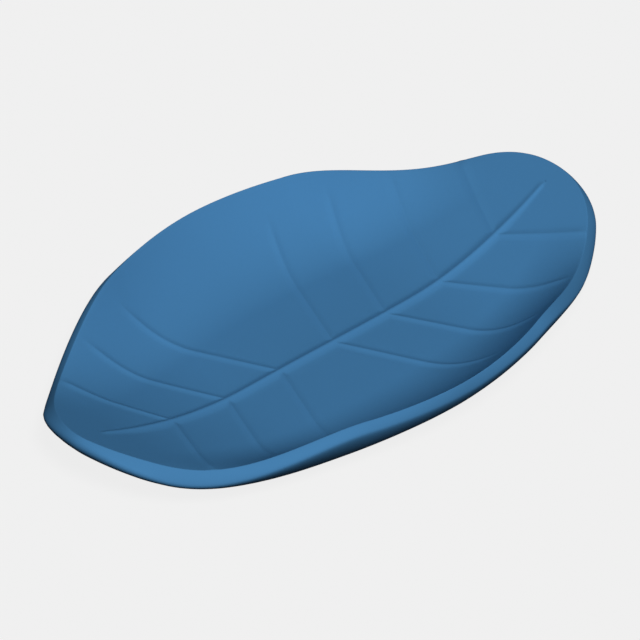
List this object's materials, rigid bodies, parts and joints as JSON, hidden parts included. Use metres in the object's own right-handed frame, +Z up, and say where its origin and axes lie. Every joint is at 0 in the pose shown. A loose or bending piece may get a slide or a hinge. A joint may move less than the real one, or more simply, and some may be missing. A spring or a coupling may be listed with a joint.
{
  "type": "leaf shaped plate",
  "caption": "Leaf shaped serving dish with raised wavy sides, upturned tips, a thick rounded lip and a raised middle rib with side veins.",
  "frame": {"origin": "in the table plane, under the widest point of the leaf on its middle line", "axes": "+X along the leaf to its shorter half, +Y across it, +Z up out of the dish"},
  "size_m": [0.2407, 0.1448, 0.0293],
  "materials": {
    "plate": "even matte steel blue, no gloss"
  },
  "bodies": {
    "root": {"plate": "plate"}
  },
  "joints": []
}
